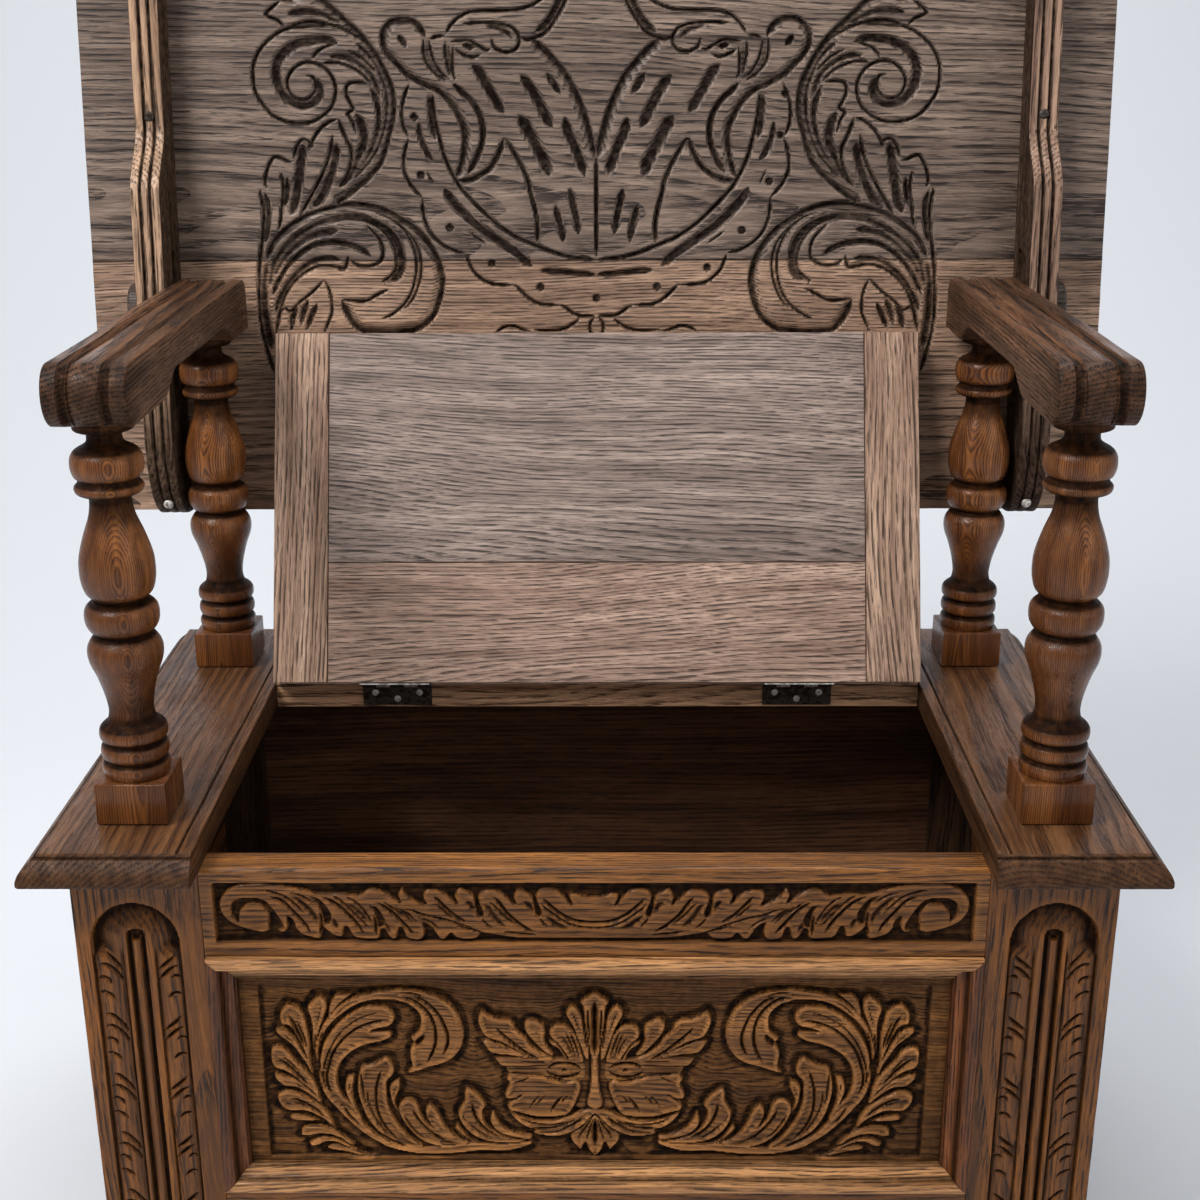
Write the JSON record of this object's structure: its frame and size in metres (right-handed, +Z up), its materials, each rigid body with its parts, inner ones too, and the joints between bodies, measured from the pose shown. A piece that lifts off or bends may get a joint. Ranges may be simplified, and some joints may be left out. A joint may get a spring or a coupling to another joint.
{
  "type": "settle bench",
  "caption": "Carved oak settle bench with a lidded chest seat, turned posts and moulded arms, whose back tilts forward over the arms as a table.",
  "frame": {"origin": "on the floor, under the middle of the bench's bounding box at rest", "axes": "+Z up, -Y towards the sitter's view of the carved front, +X to the right as the picture shows it"},
  "size_m": [0.914, 0.5272, 1.1367],
  "materials": {
    "carved_oak": "golden brown waxed oak, carved",
    "side_oak": "golden brown waxed oak",
    "dark_oak": "very dark brown waxed oak",
    "top_oak": "mid greyish brown waxed oak with dark grain",
    "inside_oak": "almost black stained oak, dull",
    "turned_oak": "polished reddish brown oak, turned",
    "dark_steel": "darkened steel, worn bright at edges"
  },
  "bodies": {
    "seat_frame": {"front_stile_left": "carved_oak", "front_stile_right": "carved_oak", "rear_stile_left": "dark_oak", "rear_stile_right": "dark_oak", "frieze_rail": "carved_oak", "bottom_rail": "carved_oak", "front_panel": "carved_oak", "panel_moulding_top": "carved_oak", "panel_moulding_bottom": "carved_oak", "panel_moulding_left": "carved_oak", "panel_moulding_right": "carved_oak", "side_top_rail_left": "side_oak", "side_top_rail_right": "side_oak", "side_bottom_rail_left": "side_oak", "side_bottom_rail_right": "side_oak", "side_panel_left": "side_oak", "side_panel_right": "side_oak", "back_board_lower": "inside_oak", "back_board_upper": "inside_oak", "chest_bottom": "inside_oak", "bottom_batten_left": "inside_oak", "bottom_batten_right": "inside_oak", "seat_cap_left": "dark_oak", "seat_cap_right": "dark_oak", "rear_seat_rail": "side_oak", "front_post_left": "turned_oak", "front_post_right": "turned_oak", "rear_post_left": "turned_oak", "rear_post_right": "turned_oak", "arm_left": "dark_oak", "arm_right": "dark_oak", "hinge_leaf_fixed_left": "dark_steel", "hinge_leaf_fixed_right": "dark_steel", "hinge_pin_left": "dark_steel", "hinge_pin_right": "dark_steel", "hinge_screw_left_1": "dark_steel", "hinge_screw_left_2": "dark_steel", "hinge_screw_left_3": "dark_steel", "hinge_screw_right_1": "dark_steel", "hinge_screw_right_2": "dark_steel", "hinge_screw_right_3": "dark_steel"},
    "lid": {"lid_board_front": "top_oak", "lid_board_rear": "top_oak", "lid_cleat_left": "top_oak", "lid_cleat_right": "top_oak", "hinge_leaf_lid_left": "dark_steel", "hinge_leaf_lid_right": "dark_steel"},
    "pivot_pegs": {"pivot_peg_left": "dark_oak", "pivot_peg_right": "dark_oak"},
    "table_top": {"top_plank_lower": "top_oak", "top_plank_middle": "top_oak", "top_plank_upper": "top_oak", "bearer_left": "top_oak", "bearer_right": "top_oak", "bearer_screw_foot_left": "dark_steel", "bearer_screw_foot_right": "dark_steel", "bearer_screw_middle_left": "dark_steel", "bearer_screw_middle_right": "dark_steel", "bearer_screw_head_left": "dark_steel", "bearer_screw_head_right": "dark_steel"}
  },
  "joints": [
    {"name": "lid_hinge", "type": "hinge", "parent": "seat_frame", "child": "lid", "pos_m": [0, 0.07845, 0.434], "axis": [1, 0, 0], "range_deg": [0, 111.24]},
    {"name": "top_tilt", "type": "hinge", "parent": "seat_frame", "child": "pivot_pegs", "pos_m": [0, 0.17345, 0.7615], "axis": [1, 0, 0], "range_deg": [0, 97]},
    {"name": "top_slide", "type": "slide", "parent": "pivot_pegs", "child": "table_top", "axis": [0, 0.1219, 0.9925], "range_m": [-0.042, 0.08]}
  ]
}
